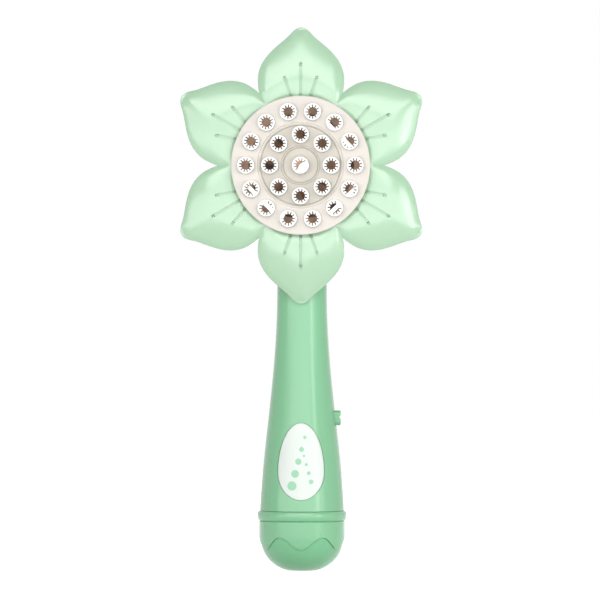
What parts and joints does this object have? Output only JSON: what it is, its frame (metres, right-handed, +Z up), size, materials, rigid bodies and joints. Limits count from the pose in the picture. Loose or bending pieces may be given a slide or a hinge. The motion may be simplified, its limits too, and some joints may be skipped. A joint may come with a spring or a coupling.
{
  "type": "bubble machine",
  "caption": "Hand-held battery bubble machine: round swelling handle, flower head of domed petals round a disc of toothed nozzles, side button, fan and motor inside.",
  "frame": {"origin": "centre of the small flat under the foot, on the handle's axis", "axes": "+Z up along the handle to the flower head, front of the flower faces -Y, power button on the +X side"},
  "size_m": [0.1516, 0.0637, 0.341],
  "materials": {
    "petal_plastic": "pale mint, soft gloss",
    "body_plastic": "mint, semi-gloss",
    "cap_plastic": "darker mint, semi-gloss",
    "plate_plastic": "beige grey, satin gloss",
    "white_plastic": "white, semi-gloss",
    "label_plastic": "white film with plain mint dots",
    "brown_plastic": "dark brown, satin",
    "black_plastic": "black, satin",
    "seal_rubber": "matt",
    "board_laminate": "green board",
    "cell_wrap": "plain dark film",
    "motor_steel": "drawn steel",
    "screw_steel": "zinc-plated",
    "contact_steel": "nickel-plated",
    "lead_red": "insulation",
    "lead_black": "insulation"
  },
  "bodies": {
    "housing": {"front_housing": "body_plastic", "rear_housing": "body_plastic", "petal_shell": "petal_plastic", "face_plate": "plate_plastic", "nozzle_plate": "white_plastic", "face_seal": "seal_rubber", "motor_spider": "white_plastic", "motor_can": "motor_steel", "motor_end_cap": "brown_plastic", "air_chamber": "brown_plastic", "base_collar": "body_plastic", "base_cap": "cap_plastic", "label_plate": "label_plastic", "switch_body": "black_plastic", "switch_board": "board_laminate", "battery_bay": "black_plastic", "battery_1": "cell_wrap", "battery_2": "cell_wrap", "battery_3": "cell_wrap", "contact_plate_top": "contact_steel", "contact_plate_bottom": "contact_steel", "contact_spring_1": "contact_steel", "contact_spring_2": "contact_steel", "contact_spring_3": "contact_steel", "motor_lead_red": "lead_red", "motor_lead_black": "lead_black", "battery_lead": "lead_red", "housing_screw_1": "screw_steel", "housing_screw_2": "screw_steel", "housing_screw_3": "screw_steel", "housing_screw_4": "screw_steel", "housing_screw_5": "screw_steel", "housing_screw_6": "screw_steel"},
    "rotor": {"motor_shaft": "motor_steel", "impeller": "brown_plastic"},
    "button": {"power_button": "cap_plastic", "switch_plunger": "white_plastic"},
    "door": {"battery_door": "body_plastic", "door_screw": "screw_steel"}
  },
  "joints": [
    {"name": "impeller_spin", "type": "hinge", "parent": "housing", "child": "rotor", "pos_m": [0, 0, 0.2544], "axis": [0, 1, 0], "continuous": true},
    {"name": "button_press", "type": "slide", "parent": "housing", "child": "button", "axis": [-1, 0, 0], "range_m": [0, 0.0015], "stiffness_N_per_m": 400},
    {"name": "battery_door_lift", "type": "slide", "parent": "housing", "child": "door", "axis": [0, 1, 0], "range_m": [0, 0.06]}
  ]
}
